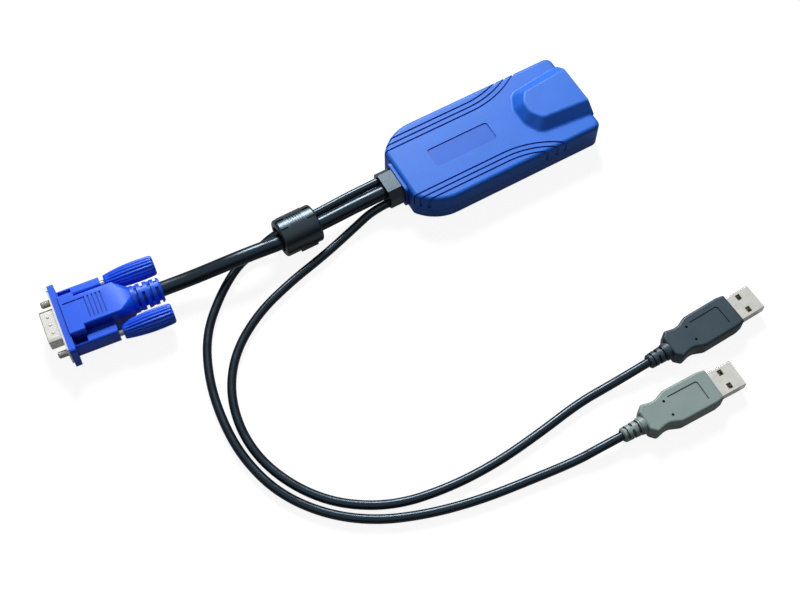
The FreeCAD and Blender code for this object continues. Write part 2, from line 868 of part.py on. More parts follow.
def video_shell():
    mid = plug_axis
    plate = section(rectangle(-flange_width / 2, flange_width / 2, mid - flange_height / 2,
                              mid + flange_height / 2, flange_corner), 0, flange_thickness)
    holes = [rod(jackscrew_shank / 2 + 2 * jackscrew_fit, flange_thickness + 2,
                 Vector(-1, sign * jackscrew_half_span, mid), Vector(1, 0, 0)) for sign in (-1, 1)]
    sleeve = d_prism(0, 0, flange_thickness + d_reach)
    sleeve = round_edges(sleeve, d_wall * 0.9, lambda e: e.BoundBox.XMin > flange_thickness + d_reach - 1e-3)
    dimples = []
    x = flange_thickness + d_reach / 2
    for height, count, facing in ((d_height / 2, 3, 1), (-d_height / 2, 2, -1)):
        for i in range(count):
            base = Vector(x, (i - (count - 1) / 2) * dimple_pitch, mid + height - facing * d_wall / 2)
            dimples.append(Part.makeCone(dimple_radius, dimple_top_radius, dimple_height + d_wall / 2,
                                         base, Vector(0, 0, facing)))
    hollow = d_prism(-d_wall, -1, flange_thickness + d_reach + 1)
    return fuse([plate, sleeve] + dimples).cut(holes + [hollow])


def pin_places():
    places = []
    for row in range(pin_rows):
        shift = pin_pitch / 2 if row == 1 else 0
        z = plug_axis + ((pin_rows - 1) / 2 - row) * pin_row
        for i in range(pins_per_row):
            places.append(((i - (pins_per_row - 1) / 2) * pin_pitch - pin_pitch / 4 + shift, z))
    return places


def video_insulator():
    block = d_prism(-d_wall, -core_depth, flange_thickness + insulator_step)
    start = -core_depth - 1
    length = core_depth + flange_thickness + insulator_step + 2
    bores = [rod(pin_radius, length, Vector(start, y, z), Vector(1, 0, 0)) for y, z in pin_places()]
    return block.cut(bores)


def video_pins():
    tip = 0.3
    start = -core_depth
    reach = flange_thickness + insulator_step + pin_reach - 1.4
    pins = []
    for y, z in pin_places():
        base = Vector(0, y, z)
        pins.append(turned([(start, 0), (start, pin_radius), (reach - tip, pin_radius),
                            (reach, pin_radius - tip / 2), (reach, 0)], base))
    return Part.makeCompound(pins)


def knob(sign):
    """Thumbscrew grip: a fluted barrel, fullest towards its rear."""
    mid = plug_axis
    base = Vector(0, sign * jackscrew_half_span, mid)
    nose = Vector(-knob_front, 0, knob_front_radius) + base
    fullest = Vector(-knob_fullest, 0, knob_radius) + base
    rim = Vector(-knob_rear + knob_edge, 0, knob_rear_radius) + base
    edges = [Part.LineSegment(Vector(-knob_front, 0, 0) + base, nose).toShape(),
             Part.Arc(nose, fullest, rim).toShape(),
             Part.LineSegment(rim, Vector(-knob_rear, 0, knob_rear_radius - knob_edge) + base).toShape(),
             Part.LineSegment(Vector(-knob_rear, 0, knob_rear_radius - knob_edge) + base,
                              Vector(-knob_rear, 0, 0) + base).toShape(),
             Part.LineSegment(Vector(-knob_rear, 0, 0) + base, Vector(-knob_front, 0, 0) + base).toShape()]
    barrel = Part.Face(Part.Wire(edges)).revolve(base, Vector(1, 0, 0), 360)
    flutes = []
    length = knob_rear - knob_front
    lean = math.atan2(knob_rear_radius - knob_front_radius, length)
    for i in range(knob_flutes):
        angle = 2 * math.pi * i / knob_flutes
        out = Vector(0, math.cos(angle), math.sin(angle))
        start = base + Vector(-knob_front - flute_start, 0, 0) + out * (knob_front_radius + flute_rise)
        direction = Vector(-math.cos(lean), 0, 0) + out * math.sin(lean)
        flutes.append(rod(flute_radius, length, start, direction))
    slot = box(-knob_rear - 1, -knob_rear + knob_slot, -knob_radius, knob_radius,
               -knob_slot / 2, knob_slot / 2)
    slot.translate(base)
    hole = rod(jackscrew_shank / 2, jackscrew_seat, base + Vector(-knob_front - jackscrew_seat, 0, 0),
               Vector(1, 0, 0))
    return barrel.cut(flutes + [slot, hole])


def jackscrew(sign):
    """Steel screw: a shank in the knob and the hood, and a thinner end for the thread."""
    back = -knob_front - jackscrew_seat
    shank = jackscrew_shank / 2
    thread = jackscrew_thread / 2
    end = jackscrew_reach - jackscrew_point
    return turned([(back, 0), (back, shank), (jackscrew_shank_reach, shank), (jackscrew_shank_reach, thread),
                   (end, thread), (jackscrew_reach, thread - jackscrew_point), (jackscrew_reach, 0)],
                  Vector(0, sign * jackscrew_half_span, plug_axis))


# USB plugs
def usb_body():
    """Overmoulded grip with a waist, a framed panel line and a ribbed sleeve."""
    tail = -usb_body_length
    waist = tail + usb_waist_back
    corners = [(0, -usb_half + usb_front_draft, 0.8), (-usb_front_run, -usb_half, 3),
               (tail + usb_waist_run, -usb_half, 5), (waist + 1.0, -usb_waist_half, 4),
               (waist - 1.2, -usb_waist_half, 4), (tail + usb_tail_run, -usb_tail_half, 1.4),
               (tail, -usb_relief_collar, 1.2)]
    mirrored = [(x, -y, r) for x, y, r in reversed(corners)]
    body = plan(corners + mirrored, 0, usb_height)
    body = round_edges(body, usb_edge, lambda e: level(e, 0) or level(e, usb_height))
    collar = turned([(tail + 2, 0), (tail + 2, usb_height / 2 - 0.1),
                     (tail - 1.8, usb_relief_collar - 0.6), (tail - 1.8, 0)], Vector(0, 0, usb_axis))
    relief = ribbed_relief(usb_body_length + 1.0, usb_relief_end, usb_relief_radius, usb_relief_rear_radius,
                           usb_relief_core, usb_relief_rings, usb_relief_gap, usb_bridge, usb_axis)
    top = usb_height - frame_groove_depth
    half, w = frame_groove_half, frame_groove_width
    front = -frame_groove_front
    back = front - frame_groove_length
    outside = plan([(back, -half, 0), (front, -half, 0), (front, half, 1.2), (back, half, 0)],
                   top, usb_height + 1)
    inside = plan([(back - 1, -half - 1, 0), (front - w, -half - 1, 0), (front - w, half - w, 0.8),
                   (back - 1, half - w, 0)], top - 1, usb_height + 2)
    dots = [rod(dot_radius, dot_depth + 1, Vector(-dot_back, y, usb_height - dot_depth))
            for y in (-dot_half, dot_half)]
    room = usb_sleeve(0, -shell_tail, 1)
    return fuse([body, collar, relief]).cut([outside.cut(inside), room] + dots)


def usb_sleeve(inset, x0, x1):
    half_w = shell_width / 2 - inset
    half_h = shell_height / 2 - inset
    return section(rectangle(-half_w, half_w, usb_axis - half_h, usb_axis + half_h, 0.5 - inset), x0, x1)


def usb_shell():
    room = usb_sleeve(shell_wall, -shell_tail + shell_wall, shell_reach + 1)
    sleeve = usb_sleeve(0, -shell_tail, shell_reach).cut(room)
    windows = []
    for y in (-window_centre, window_centre):
        windows.append(box(window_start, window_start + window_length, y - window_width / 2,
                           y + window_width / 2, 0, usb_height))
    dimple = rod(0.45, shell_wall, Vector(1.8, 0.6, usb_axis + shell_height / 2 - shell_wall / 2))
    return sleeve.cut(windows + [dimple])


def usb_tongue():
    half = shell_width / 2 - shell_wall
    low = usb_axis - shell_height / 2 + shell_wall
    back = -shell_tail + shell_wall
    block = usb_sleeve(shell_wall, back, shell_reach - tongue_short).common(
        box(back, shell_reach, -half, half, low, low + tongue_height))
    stem = usb_sleeve(shell_wall, back, -0.5)
    front = shell_reach - tongue_short - tongue_lead
    lead = box(front, shell_reach, -half, half, low + tongue_height - tongue_lead, usb_height)
    return fuse([block, stem]).cut([lead, usb_contacts()])


def usb_contacts():
    top = usb_axis - shell_height / 2 + shell_wall + tongue_height
    strips = []
    for i, y in enumerate(usb_contact_places):
        short = 1.0 if i in (1, 2) else 0.0
        strips.append(box(-0.5, shell_reach - tongue_short - 1.4 - short, y - usb_contact_width / 2,
                          y + usb_contact_width / 2, top - usb_contact_thickness, top))
    return Part.makeCompound(strips)


# Ferrite clip
def clip_cylinder(radius, length):
    start = clip_centre - Vector(length / 2, 0, 0)
    return rod(radius, length, start, Vector(1, 0, 0))


def half_space(upper):
    reach = clip_radius + 4
    gap = clip_gap / 2
    low, high = (gap, reach) if upper else (-reach, -gap)
    cutter = box(-clip_length, clip_length, -reach, reach, low, high)
    cutter.translate(clip_centre)
    return cutter


def hinge_axis():
    return clip_centre + Vector(0, clip_radius + hinge_offset, 0)


def knuckle(x0, length, upper):
    """Hinge knuckle with a web to its own half of the clip."""
    axis = hinge_axis()
    barrel = rod(hinge_radius, length, Vector(x0, axis.y, axis.z), Vector(1, 0, 0))
    depth = hinge_offset + clip_wall / 2
    gap = clip_gap / 2
    low, high = (gap, hinge_radius) if upper else (-hinge_radius, -gap)
    web = box(x0, x0 + length, axis.y - depth, axis.y, axis.z + low, axis.z + high)
    return fuse([barrel, web])


def knuckle_starts():
    span = 3 * knuckle_length + 2 * knuckle_gap
    first = clip_centre.x - span / 2
    return [first + i * (knuckle_length + knuckle_gap) for i in range(3)]


def clip_case(upper):
    case = clip_cylinder(clip_radius, clip_length)
    case = round_edges(case, clip_edge, lambda e: e.BoundBox.XLength < 1e-4)
    room = clip_cylinder(clip_radius - clip_wall, clip_length - 2 * clip_end_wall)
    case = case.cut([room, clip_cylinder(clip_bore, clip_length + 2)]).common(half_space(upper))
    starts = knuckle_starts()
    axis = hinge_axis()
    clear = hinge_radius + knuckle_gap
    tab_half = latch_tab_width / 2
    side = -clip_radius
    tab_top = clip_gap
    tab = box(-tab_half, tab_half, side + 0.1, side + clip_wall - 0.1, -latch_tab_drop, tab_top + 0.6)
    tab.translate(clip_centre + Vector(latch_tab_shift, 0, 0))
    notch = box(-tab_half - clip_gap, tab_half + clip_gap, side - 1, side + clip_wall + clip_gap / 2,
                -latch_tab_drop - clip_gap, tab_top)
    notch.translate(clip_centre + Vector(latch_tab_shift, 0, 0))
    if upper:
        neighbours = [rod(clear, knuckle_length + 2 * knuckle_gap, Vector(x - knuckle_gap, axis.y, axis.z),
                          Vector(1, 0, 0)) for x in (starts[0], starts[2])]
        middle = knuckle(starts[1], knuckle_length, True)
        pin_start = starts[0] + 0.4
        pin_length = starts[2] + knuckle_length - 0.4 - pin_start
        pin = rod(hinge_pin_radius, pin_length, Vector(pin_start, axis.y, axis.z), Vector(1, 0, 0))
        case = fuse([case.cut(neighbours), middle, pin, tab])
        return cut_each(case, ridge_cutters() + slot_cutters())
    bore = rod(hinge_pin_radius + hinge_pin_fit, clip_length, Vector(starts[0] - 1, axis.y, axis.z),
               Vector(1, 0, 0))
    clearance = rod(clear, knuckle_length + 2 * knuckle_gap, Vector(starts[1] - knuckle_gap, axis.y, axis.z),
                    Vector(1, 0, 0))
    outer = [knuckle(x, knuckle_length, False) for x in (starts[0], starts[2])]
    return cut_each(fuse([case.cut(clearance)] + outer), [bore, notch])


def clip_wedge(from_angle, to_angle):
    """Slice of the clip between two angles from straight up, positive towards -y."""
    reach = 2 * clip_radius
    outline = [clip_centre - Vector(clip_length, 0, 0)]
    for angle in (from_angle, to_angle):
        a = math.radians(angle)
        outline.append(outline[0] + Vector(0, -math.sin(a), math.cos(a)) * reach)
    face = Part.Face(Part.makePolygon(outline + [outline[0]]))
    return face.extrude(Vector(2 * clip_length, 0, 0))


def ridge_cutters():
    """Fine grooves across the thumb panel, between the two pairs of slots."""
    wedge = clip_wedge(-slot_angle - panel_turn, slot_angle - panel_turn)
    width = ridge_pitch * 0.42
    cutters = []
    for i in range(ridge_count):
        start = clip_centre + Vector((i - (ridge_count - 1) / 2 - 0.2) * ridge_pitch, 0, 0)
        outer = rod(clip_radius + 1, width, start, Vector(1, 0, 0))
        inner = rod(clip_radius - ridge_depth, width, start, Vector(1, 0, 0))
        cutters.append(outer.cut(inner).common(wedge))
    return cutters


def slot_cutters():
    cutters = []
    for end in (-1, 1):
        x = clip_centre.x + end * (clip_length / 2 - slot_length / 2 - 0.9)
        for side in (-1, 1):
            slot = box(-slot_length / 2, slot_length / 2, -slot_width / 2, slot_width / 2,
                       clip_radius - clip_wall / 2 - 0.2, clip_radius + 1)
            slot.rotate(Vector(0, 0, 0), Vector(1, 0, 0), side * slot_angle - panel_turn)
            slot.translate(Vector(x, clip_centre.y, clip_centre.z))
            cutters.append(slot)
    return cutters


def clip_core(upper):
    core = clip_cylinder(clip_radius - clip_wall - core_fit, clip_length - 2 * clip_end_wall - 2 * core_fit)
    return core.cut(clip_cylinder(clip_bore, clip_length)).common(half_space(upper))


# Cables: points of each route, (x, y, z) from the gland to the plug
video_exit = (-0.9, 8.0)
grey_exit = (4.7, 8.6)
black_exit = (-4.6, 3.9)


def plug_end(origin, angle, back, axis):
    turn = math.radians(angle)
    return (origin.x - back * math.cos(turn), origin.y - back * math.sin(turn), axis)


video_route = [(collar_face, *video_exit), (-62.7, -0.9, 8.0), (-80.2, -1.7, 8.4), (-100.7, -1.8, 8.7),
               (-112.2, -1.9, 11.2), (-125.7, -0.9, 11.2),
               plug_end(plug_origin, plug_angle, relief_end + 14.0, plug_axis),
               plug_end(plug_origin, plug_angle, relief_end, plug_axis)]
grey_route = [(collar_face, *grey_exit), (-62.7, 4.7, 8.6), (-80.7, 3.7, 8.5), (-100.3, 3.65, 8.3),
              (-110.7, 2.9, 2.9), (-120.7, 0.9, 2.0), (-133.5, -8.2, 2.0), (-146.9, -22.2, 2.0),
              (-154.9, -41.0, 2.0), (-158.4, -61.0, 2.0), (-158.2, -79.8, 2.0), (-152.9, -99.0, 2.0),
              (-141.2, -115.6, 2.0), (-125.2, -128.0, 2.0), (-105.5, -136.0, 2.0), (-84.7, -141.0, 2.0),
              (-62.7, -143.8, 2.0), (-43.7, -145.9, 2.0),
              plug_end(usb_grey_origin, usb_grey_angle, usb_relief_end + 10.5, usb_axis),
              plug_end(usb_grey_origin, usb_grey_angle, usb_relief_end, usb_axis)]
black_route = [(collar_face, *black_exit), (-57.2, -4.6, 3.9), (-68.2, -7.4, 2.1), (-84.7, -12.6, 2.0),
               (-105.2, -17.6, 2.0), (-123.2, -24.0, 2.0), (-139.4, -35.0, 2.0), (-149.7, -50.0, 2.0),
               (-153.9, -68.0, 2.0), (-152.2, -85.5, 2.0), (-144.5, -102.6, 2.0), (-132.7, -116.2, 2.0),
               (-115.2, -126.4, 2.0), (-94.2, -130.4, 2.0), (-72.7, -131.0, 2.0), (-50.7, -128.7, 2.0),
               (-29.2, -125.4, 2.0), (-14.2, -125.1, 2.0),
               plug_end(usb_black_origin, usb_black_angle, usb_relief_end + 9.5, usb_axis),
               plug_end(usb_black_origin, usb_black_angle, usb_relief_end, usb_axis)]


def cable(name, route, diameter):
    """Tube along straight runs joined by tangent arcs as large as the runs allow."""
    points = [Vector(*p) for p in route]
    edges = []
    radii = []
    at = points[0]
    for before, corner, after in zip(points, points[1:], points[2:]):
        back = before - corner
        ahead = after - corner
        turn = math.pi - back.getAngle(ahead)
        run = 0.45 * min(back.Length, ahead.Length)
        radius = run / math.tan(turn / 2)
        radii.append(radius)
        back.normalize()
        ahead.normalize()
        start = corner + back * run
        end = corner + ahead * run
        middle = corner + (back + ahead).normalize() * (radius / math.cos(turn / 2) - radius)
        edges.append(Part.LineSegment(at, start).toShape())
        edges.append(Part.Arc(start, middle, end).toShape())
        at = end
    edges.append(Part.LineSegment(at, points[-1]).toShape())
    path = Part.Wire(edges)
    first = points[1] - points[0]
    profile = Part.Wire(Part.makeCircle(diameter / 2, points[0], first))
    tube = path.makePipeShell([profile], True, False)
    expected = path.Length * math.pi * diameter ** 2 / 4
    print("%s: %.1f mm long, volume ratio %.5f, radii in diameters: %s" % (
        name, path.Length, tube.Volume / expected, " ".join("%.0f" % (r / diameter) for r in radii)))
    return tube


def main():
    os.makedirs("parts", exist_ok=True)
    top, bottom = housing_shells()
    export("housing_top", top)
    export("housing_bottom", bottom)
    export("cable_gland", cable_gland())
    export("circuit_board", circuit_board())
    export("housing_screws", housing_screws())
    export("socket_shield", jack_shield())
    export("socket_body", jack_body())
    export("socket_contacts", jack_contacts())
    names = ("video_chip", "processor_chip", "memory_chip", "crystal", "capacitors")
    for name, shape in zip(names, board_parts()):
        export(name, shape)
    export("board_headers", board_headers())
    export("harness_wires", harness_wires())

    export("clip_lower_case", clip_case(False))
    export("clip_upper_case", clip_case(True))
    export("ferrite_core_lower", clip_core(False))
    export("ferrite_core_upper", clip_core(True))

    video_pieces = {"video_plug_hood": video_hood(), "video_plug_shell": video_shell(),
                    "video_plug_insulator": video_insulator(), "video_plug_pins": video_pins(),
                    "thumbscrew_knob_far": knob(-1), "thumbscrew_knob_near": knob(1),
                    "jackscrew_far": jackscrew(-1), "jackscrew_near": jackscrew(1)}
    for name, shape in video_pieces.items():
        export(name, placed(shape, plug_origin, plug_angle))

    usb_pieces = {"body": usb_body(), "shell": usb_shell(), "tongue": usb_tongue(),
                  "contacts": usb_contacts()}
    for colour, origin, angle in (("black", usb_black_origin, usb_black_angle),
                                  ("grey", usb_grey_origin, usb_grey_angle)):
        for piece, shape in usb_pieces.items():
            export("usb_%s_%s" % (colour, piece), placed(shape, origin, angle))

    export("video_cable", cable("video_cable", video_route, video_diameter))
    export("usb_grey_cable", cable("usb_grey_cable", grey_route, usb_diameter))
    export("usb_black_cable", cable("usb_black_cable", black_route, usb_diameter))


main()
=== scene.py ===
import json
import math
import bpy
import bmesh
from mathutils import Matrix, Vector

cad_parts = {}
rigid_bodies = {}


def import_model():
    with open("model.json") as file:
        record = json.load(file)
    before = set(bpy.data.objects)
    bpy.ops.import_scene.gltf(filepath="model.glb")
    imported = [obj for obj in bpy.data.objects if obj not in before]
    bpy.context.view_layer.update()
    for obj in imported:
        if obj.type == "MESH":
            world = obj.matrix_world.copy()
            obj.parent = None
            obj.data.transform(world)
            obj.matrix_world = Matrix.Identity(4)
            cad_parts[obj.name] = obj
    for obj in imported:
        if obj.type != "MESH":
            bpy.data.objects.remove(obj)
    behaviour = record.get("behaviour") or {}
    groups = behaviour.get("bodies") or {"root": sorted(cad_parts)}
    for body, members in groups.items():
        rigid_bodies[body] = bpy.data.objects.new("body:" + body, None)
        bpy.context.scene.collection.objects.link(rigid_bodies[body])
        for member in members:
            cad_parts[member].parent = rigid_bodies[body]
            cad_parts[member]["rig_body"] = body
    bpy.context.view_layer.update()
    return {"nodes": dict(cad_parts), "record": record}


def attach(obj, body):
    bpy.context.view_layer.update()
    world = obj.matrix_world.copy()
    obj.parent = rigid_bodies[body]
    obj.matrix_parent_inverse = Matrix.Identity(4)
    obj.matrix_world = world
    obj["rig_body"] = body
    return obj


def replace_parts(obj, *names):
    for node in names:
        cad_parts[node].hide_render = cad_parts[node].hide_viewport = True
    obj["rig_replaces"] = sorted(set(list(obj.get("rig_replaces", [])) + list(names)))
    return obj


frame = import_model()
scene = bpy.context.scene
slotOf = {part["node"]: part["material_slot"] for part in frame["record"]["subparts"]}
bodyOf = {node: thing["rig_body"] for node, thing in frame["nodes"].items()}


def newObject(name, data):
    thing = bpy.data.objects.new(name, data)
    scene.collection.objects.link(thing)
    return thing


def aim(thing, direction):
    # a camera or a lamp looks along its own -Z
    thing.rotation_mode = "QUATERNION"
    thing.rotation_quaternion = direction.to_track_quat("-Z", "Y")


# camera

viewpoint = {
    "lookAt": (-0.06804, -0.04718, 0.0),
    "azimuth": -29.78,
    "elevation": 61.76,
    "distance": 0.573487,
    "lens": 60.8,
    "sensor": 36,
    "clip": (0.01, 20),
}


def makeCamera():
    camera = newObject("camera", bpy.data.cameras.new("camera"))
    turn, rise = math.radians(viewpoint["azimuth"]), math.radians(viewpoint["elevation"])
    level = math.cos(rise)
    back = Vector((math.sin(turn) * level, -math.cos(turn) * level, math.sin(rise)))
    camera.location = Vector(viewpoint["lookAt"]) + back * viewpoint["distance"]
    aim(camera, -back)
    camera.data.sensor_width = viewpoint["sensor"]
    camera.data.lens = viewpoint["lens"]
    camera.data.clip_start, camera.data.clip_end = viewpoint["clip"]
    scene.camera = camera


makeCamera()
print("camera placed")


# node helpers, for materials and for geometry

def feed(tree, node, inputs):
    # a socket is linked, and any other value is set on the node's own socket
    for socket, value in inputs.items():
        if isinstance(value, bpy.types.NodeSocket):
            tree.links.new(value, node.inputs[socket])
        else:
            node.inputs[socket].default_value = value


def addNode(tree, kind, inputs=None, **settings):
    node = tree.nodes.new(kind)
    for setting, value in settings.items():
        setattr(node, setting, value)
    feed(tree, node, inputs or {})
    return node


def calc(tree, operation, *values):
    return addNode(tree, "ShaderNodeMath", dict(enumerate(values)), operation=operation).outputs[0]


def opaque(colour):
    return (*colour, 1)


# materials

usualNoise = {"low": 0.3, "high": 0.7}  # nearly all of a noise pattern lies between these


def newMaterial(name, metallic=0.0):
    material = bpy.data.materials.new(name)
    material.use_nodes = True
    tree = material.node_tree
    shader = tree.nodes["Principled BSDF"]
    feed(tree, shader, {"Metallic": metallic})
    place = addNode(tree, "ShaderNodeTexCoord").outputs["Object"]
    return material, tree, shader, place


def noise(tree, place, scale, detail=2.0, roughness=0.5, stretch=None):
    if stretch:
        mapping = addNode(tree, "ShaderNodeMapping", {"Vector": place, "Scale": stretch})
        place = mapping.outputs["Vector"]
    texture = addNode(tree, "ShaderNodeTexNoise", {
        "Vector": place, "Scale": scale, "Detail": detail, "Roughness": roughness})
    return texture.outputs["Fac"]


def ramp(tree, factor, low, high, start=usualNoise["low"], end=usualNoise["high"]):
    band = addNode(tree, "ShaderNodeValToRGB", {"Fac": factor})
    first, last = band.color_ramp.elements
    first.position, last.position = start, end
    first.color, last.color = opaque(low), opaque(high)
    return band.outputs["Color"]


def spread(tree, factor, low, high):
    # roughness that follows a noise pattern
    return addNode(tree, "ShaderNodeMapRange", {
        "Value": factor, "From Min": usualNoise["low"], "From Max": usualNoise["high"],
        "To Min": low, "To Max": high}).outputs["Result"]


def bump(tree, height, distance, strength, under=None):
    relief = {"Height": height, "Distance": distance, "Strength": strength}
    if under is not None:
        relief["Normal"] = under
    return addNode(tree, "ShaderNodeBump", relief).outputs["Normal"]


def shade(colour, factor):
    return tuple(min(c * factor, 1.0) for c in colour)


mould = {
    "patches": 90,           # slow change of tone across the melt
    "waves": 120,            # shallow waves in the walls
    "waveDepth": 0.00006, "waveStrength": 0.35,
    "grainDetail": 3, "grainRoughness": 0.65, "grainStrength": 0.7,
    "glossSpread": 0.06,     # how far roughness strays either way
    "shadow": 0.15,          # painted shade tone of a deep corner where a finish names none
    "cornerSamples": 8,
    "closedBelow": 0.25,     # openness at which the painted shade is deepest
}
namePanel = {
    "centre": (-0.0097, 0, 0.0143),
    "half": (0.01535, 0.00495, 0.0001),
    "shade": (0.40, 0.76, 0.90),
}


def paintCornerShade(tree, tone, deep, reach):
    # painted shade: grooves and corners, found by ambient occlusion, are painted a deeper tone
    # than open faces
    corner = addNode(tree, "ShaderNodeAmbientOcclusion", {"Distance": reach},
                     samples=mould["cornerSamples"])
    openness = addNode(tree, "ShaderNodeMapRange", {
        "Value": corner.outputs["AO"], "From Min": mould["closedBelow"]})
    return addNode(tree, "ShaderNodeMix", {
        "Factor": openness.outputs["Result"], "A": opaque(deep), "B": tone},
        data_type="RGBA").outputs["Result"]


def sunkPanel(tree, place, tone, panel):
    # the floor of the name recess is a shade darker
    offset = addNode(tree, "ShaderNodeVectorMath", {0: place, 1: panel["centre"]},
                     operation="SUBTRACT")
    size = addNode(tree, "ShaderNodeVectorMath", {0: offset.outputs["Vector"]},
                   operation="ABSOLUTE")
    axes = addNode(tree, "ShaderNodeSeparateXYZ", {"Vector": size.outputs["Vector"]}).outputs
    inX, inY, inZ = (calc(tree, "LESS_THAN", axes[axis], limit)
                     for axis, limit in zip("XYZ", panel["half"]))
    inside = calc(tree, "MULTIPLY", calc(tree, "MULTIPLY", inX, inY), inZ)
    return addNode(tree, "ShaderNodeMix", {
        "Factor": inside, "A": tone, "B": opaque(panel["shade"])},
        data_type="RGBA", blend_type="MULTIPLY").outputs["Result"]


def mouldedPlastic(name, colour, roughness, grain, depth, mottle,
                   specular=0.5, tint=(1, 1, 1), deep=None, reach=0.0014, panel=None):
    # spark-eroded mould grain over a faint unevenness of the melt, with painted shade in grooves
    # and corners
    material, tree, shader, place = newMaterial(name)
    patches = noise(tree, place, mould["patches"], detail=3)
    tone = ramp(tree, patches, shade(colour, 1 - mottle), shade(colour, 1 + mottle))
    if panel:
        tone = sunkPanel(tree, place, tone, panel)
    fine = noise(tree, place, grain, mould["grainDetail"], mould["grainRoughness"])
    waves = noise(tree, place, mould["waves"], detail=1)
    slow = bump(tree, waves, mould["waveDepth"], mould["waveStrength"])
    gloss = mould["glossSpread"]
    feed(tree, shader, {
        # the base colour is painted darker in grooves and corners: painted shade
        "Base Color": paintCornerShade(tree, tone, deep or shade(colour, mould["shadow"]), reach),
        "Roughness": spread(tree, fine, roughness - gloss, roughness + gloss),
        "Normal": bump(tree, fine, depth, mould["grainStrength"], slow),
        "Specular IOR Level": specular,
        "Specular Tint": opaque(tint),
    })
    return material


def cableJacket(name, colour, roughness, tint):
    # extruded jacket: smooth, with long shallow waves and a dusty bloom
    material, tree, shader, place = newMaterial(name)
    bloom = noise(tree, place, scale=160, detail=2, roughness=0.6)
    waves = noise(tree, place, scale=120, detail=0)
    dull, dusty = shade(colour, 0.75), shade(colour, 1.5)
    feed(tree, shader, {
        "Base Color": ramp(tree, bloom, dull, dusty, start=0.35, end=0.8),
        "Roughness": spread(tree, bloom, roughness - 0.05, roughness + 0.07),
        "Normal": bump(tree, waves, distance=0.00025, strength=0.5),
        "Specular Tint": opaque(tint),
    })
    return material


def platedMetal(name, colour, roughness, scratch):
    # rolled sheet under bright plating: fine marks along the sheet and cloudy patches
    material, tree, shader, place = newMaterial(name, metallic=1.0)
    clouds = noise(tree, place, scale=400, detail=3)
    marks = noise(tree, place, scale=1, detail=3, roughness=0.6, stretch=(900, 9000, 9000))
    feed(tree, shader, {
        "Base Color": ramp(tree, clouds, shade(colour, 0.9), shade(colour, 1.05)),
        "Roughness": spread(tree, marks, roughness - 0.05, roughness + 0.08),
        "Normal": bump(tree, marks, scratch, strength=0.5),
    })
    return material


def turnedSteel(name, colour, roughness, ringDepth):
    # rings that a lathe tool leaves around the screw
    material, tree, shader, place = newMaterial(name, metallic=1.0)
    rings = noise(tree, place, scale=1, stretch=(9000, 1200, 1200))
    feed(tree, shader, {
        "Base Color": ramp(tree, rings, shade(colour, 0.8), shade(colour, 1.15)),
        "Roughness": spread(tree, rings, roughness - 0.06, roughness + 0.1),
        "Normal": bump(tree, rings, ringDepth, strength=0.6),
    })
    return material


def goldContact(name, worn, bright, roughness):
    # thin plating, cloudy where it has been rubbed
    material, tree, shader, place = newMaterial(name, metallic=1.0)
    wear = noise(tree, place, scale=1500, detail=3)
    feed(tree, shader, {
        "Base Color": ramp(tree, wear, worn, bright),
        "Roughness": spread(tree, wear, *roughness),
    })
    return material


def sinteredFerrite(name, dark, light, roughness):
    # pressed grains of dull ceramic
    material, tree, shader, place = newMaterial(name)
    grains = addNode(tree, "ShaderNodeTexVoronoi", {"Vector": place, "Scale": 2600})
    grains = grains.outputs["Distance"]
    feed(tree, shader, {
        "Base Color": ramp(tree, grains, dark, light, start=0.1, end=0.6),
        "Roughness": roughness,
        "Normal": bump(tree, grains, distance=0.00003, strength=0.6),
    })
    return material


def solderMask(name, mask, maskAlso, trace, roughness):
    # traces show through the mask as slightly lighter straight bands
    material, tree, shader, place = newMaterial(name)
    traces = addNode(tree, "ShaderNodeTexBrick", {
        "Vector": place, "Scale": 260, "Mortar Size": 0.035,
        "Color1": opaque(mask), "Color2": opaque(maskAlso), "Mortar": opaque(trace)})
    weave = noise(tree, place, scale=1800)
    feed(tree, shader, {
        "Base Color": traces.outputs["Color"],
        "Roughness": spread(tree, weave, *roughness),
        "Normal": bump(tree, traces.outputs["Fac"], distance=0.00003, strength=0.5),
    })
    return material
